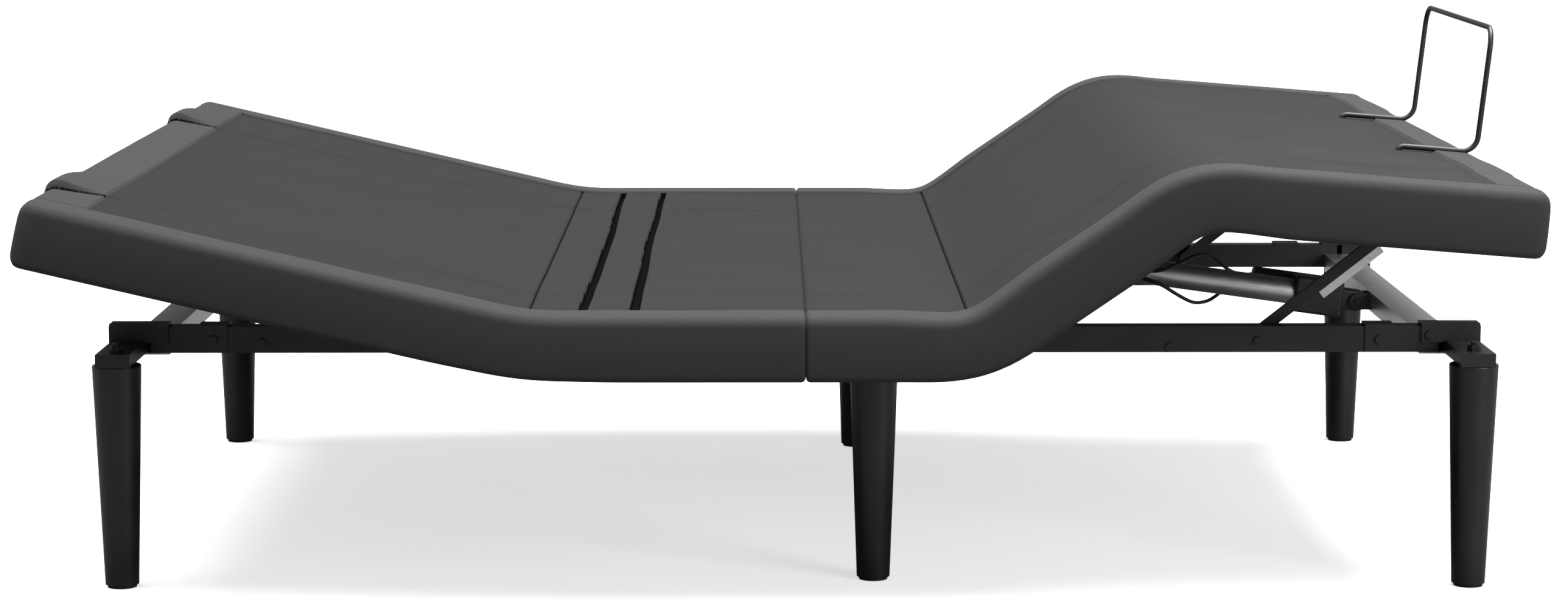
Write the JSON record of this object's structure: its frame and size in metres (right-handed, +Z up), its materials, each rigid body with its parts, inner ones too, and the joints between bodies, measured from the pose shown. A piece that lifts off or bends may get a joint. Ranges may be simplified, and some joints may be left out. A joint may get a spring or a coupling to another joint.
{
  "type": "adjustable bed base",
  "caption": "Powered bed base: padded deck with hinged head, thigh and calf sections on a steel frame with tapered legs, lifting gear and a foot retainer bar.",
  "frame": {"origin": "on the floor, under the middle of the whole object's box, at its rest pose", "axes": "+X from the head end to the foot end, +Y to the left of a person lying on the bed, +Z up"},
  "size_m": [1.9936, 1.524, 0.7384],
  "materials": {
    "cover": "dark grey woven upholstery over foam",
    "board": "black-stained plywood",
    "black_steel": "black satin powder coat",
    "plain_steel": "zinc plated",
    "leg_finish": "black satin paint",
    "nylon": "natural nylon",
    "black_plastic": "moulded, fine texture",
    "tube_metal": "drawn tube, satin",
    "glide_rubber": "moulded",
    "cable_skin": "smooth jacket"
  },
  "bodies": {
    "base": {"actuator_clevises": "black_steel", "centre_tube": "black_steel", "control_box": "black_plastic", "corner_brackets": "black_steel", "deck_bearers": "black_steel", "foot_beam": "plain_steel", "frame_bolts": "black_steel", "head_beam": "plain_steel", "leg_foot_left": "leg_finish", "leg_foot_right": "leg_finish", "leg_glides": "glide_rubber", "leg_head_left": "leg_finish", "leg_head_right": "leg_finish", "leg_mid_left": "leg_finish", "leg_mid_right": "leg_finish", "lift_bearings": "nylon", "lumbar_padding": "cover", "lumbar_slats": "board", "mid_brackets": "black_steel", "motor_cable": "cable_skin", "rail_saddles": "black_steel", "seat_board_foot": "board", "seat_board_head": "board", "seat_hinge_leaves": "plain_steel", "seat_padding_foot": "cover", "seat_padding_head": "cover", "side_rail_left": "black_steel", "side_rail_right": "black_steel"},
    "head_deck": {"head_board": "board", "head_padding": "cover", "head_hinge_leaves": "plain_steel", "head_roller_tracks": "nylon"},
    "head_lift": {"head_lift_tube": "black_steel", "head_lift_arms": "black_steel"},
    "head_roller": {"head_rollers": "nylon"},
    "head_actuator": {"head_actuator_housing": "black_plastic", "head_actuator_motor": "black_plastic", "head_actuator_tube": "tube_metal"},
    "head_rod": {"head_push_rod": "plain_steel"},
    "thigh_deck": {"thigh_board": "board", "thigh_padding": "cover", "thigh_hinge_leaves": "plain_steel", "foot_roller_tracks": "nylon"},
    "calf_deck": {"calf_board": "board", "calf_padding": "cover", "calf_hinge_leaves": "plain_steel", "calf_brackets": "black_steel", "retainer_bar": "black_steel", "bar_sockets": "nylon"},
    "foot_lift": {"foot_lift_tube": "black_steel", "foot_lift_arms": "black_steel"},
    "foot_roller": {"foot_rollers": "nylon"},
    "calf_link_pair": {"calf_links": "black_steel", "link_braces": "plain_steel"},
    "foot_actuator": {"foot_actuator_housing": "black_plastic", "foot_actuator_motor": "black_plastic", "foot_actuator_tube": "tube_metal", "motor_leads": "cable_skin"},
    "foot_rod": {"foot_push_rod": "plain_steel"}
  },
  "joints": [
    {"name": "head_tilt", "type": "hinge", "parent": "base", "child": "head_deck", "pos_m": [-0.343, 0, 0.366], "axis": [0, 1, 0], "range_deg": [-13.13, 46.87]},
    {"name": "head_lift_turn", "type": "hinge", "parent": "base", "child": "head_lift", "pos_m": [-0.403, 0, 0.322], "axis": [0, 1, 0], "range_deg": [-14.7, 52.4]},
    {"name": "head_roller_spin", "type": "hinge", "parent": "head_lift", "child": "head_roller", "pos_m": [-0.63803, 0, 0.40722], "axis": [0, 1, 0], "continuous": true},
    {"name": "head_actuator_swing", "type": "hinge", "parent": "base", "child": "head_actuator", "pos_m": [0.072, 0, 0.298], "axis": [0, 1, 0], "range_deg": [-0.4, 1.3]},
    {"name": "head_rod_stroke", "type": "slide", "parent": "head_actuator", "child": "head_rod", "axis": [-0.9972, 0, -0.0743], "range_m": [-0.0149, 0.0527]},
    {"name": "thigh_tilt", "type": "hinge", "parent": "base", "child": "thigh_deck", "pos_m": [0.239, 0, 0.366], "axis": [0, -1, 0], "range_deg": [-34.45, 10.55]},
    {"name": "calf_fold", "type": "hinge", "parent": "thigh_deck", "child": "calf_deck", "pos_m": [0.52184, 0, 0.56003], "axis": [0, 1, 0], "range_deg": [-39.05, 12]},
    {"name": "foot_lift_turn", "type": "hinge", "parent": "base", "child": "foot_lift", "pos_m": [0.359, 0, 0.322], "axis": [0, -1, 0], "range_deg": [-52.15, 16]},
    {"name": "foot_roller_spin", "type": "hinge", "parent": "foot_lift", "child": "foot_roller", "pos_m": [0.45675, 0, 0.48493], "axis": [0, 1, 0], "continuous": true},
    {"name": "calf_link_swing", "type": "hinge", "parent": "base", "child": "calf_link_pair", "pos_m": [0.641, 0, 0.322], "axis": [0, -1, 0], "range_deg": [-33.8, 10.4]},
    {"name": "foot_actuator_swing", "type": "hinge", "parent": "base", "child": "foot_actuator", "pos_m": [0.85, 0, 0.312], "axis": [0, 1, 0], "range_deg": [-6.45, 2]},
    {"name": "foot_rod_stroke", "type": "slide", "parent": "foot_actuator", "child": "foot_rod", "axis": [-0.9906, 0, 0.1369], "range_m": [-0.0335, 0.0103]}
  ],
  "couplings": [
    {"joint": "head_lift_turn", "follows": "head_tilt", "ratio": 1.1159},
    {"joint": "head_actuator_swing", "follows": "head_tilt", "ratio": 0.025},
    {"joint": "head_rod_stroke", "follows": "head_tilt", "m_per_rad": 0.064171},
    {"joint": "calf_fold", "follows": "thigh_tilt", "ratio": 1.1324},
    {"joint": "foot_lift_turn", "follows": "thigh_tilt", "ratio": 1.5119},
    {"joint": "calf_link_swing", "follows": "thigh_tilt", "ratio": 0.97896},
    {"joint": "foot_actuator_swing", "follows": "thigh_tilt", "ratio": 0.185},
    {"joint": "foot_rod_stroke", "follows": "thigh_tilt", "m_per_rad": 0.055577}
  ]
}
